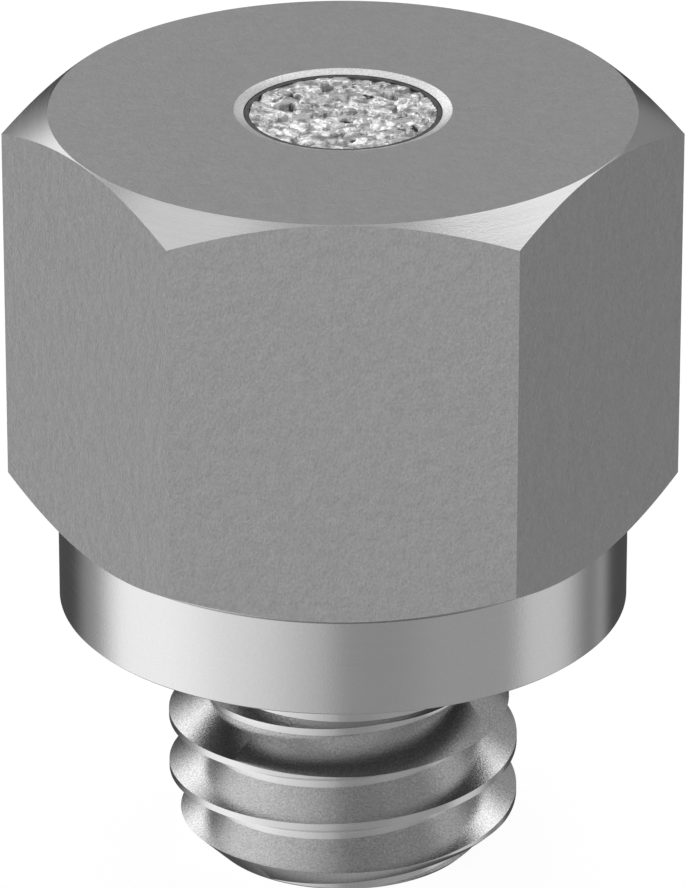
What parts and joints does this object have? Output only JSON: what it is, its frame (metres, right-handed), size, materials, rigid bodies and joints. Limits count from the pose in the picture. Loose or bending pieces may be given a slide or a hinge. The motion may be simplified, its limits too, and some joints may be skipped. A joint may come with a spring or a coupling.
{
  "type": "pneumatic muffler",
  "caption": "Compact exhaust silencer: hexagon housing with a sintered outlet disc in its end, on a round collar and a short male thread.",
  "frame": {"origin": "centre of the seating face, the flat underside of the collar, on the thread's axis", "axes": "+Z along the axis from the thread to the outlet disc, +X through a corner of the hexagon, -Y out of a flat of the hexagon"},
  "size_m": [0.0092, 0.008, 0.0108],
  "materials": {
    "satin_stainless": "satin milled stainless steel",
    "turned_stainless": "smooth turned stainless steel",
    "sintered_stainless": "fused bright steel grains with open pores",
    "dark_ring": "blackened spring steel",
    "plain_stainless": "plain sheet",
    "steel_fibre": "pressed steel wool",
    "seal_rubber": "matt black rubber"
  },
  "bodies": {
    "root": {"hex_housing": "satin_stainless", "threaded_base": "turned_stainless", "outlet_disc": "sintered_stainless", "retaining_ring": "dark_ring", "baffle_plate": "plain_stainless", "silencer_packing": "steel_fibre", "port_seal": "seal_rubber"}
  },
  "joints": []
}
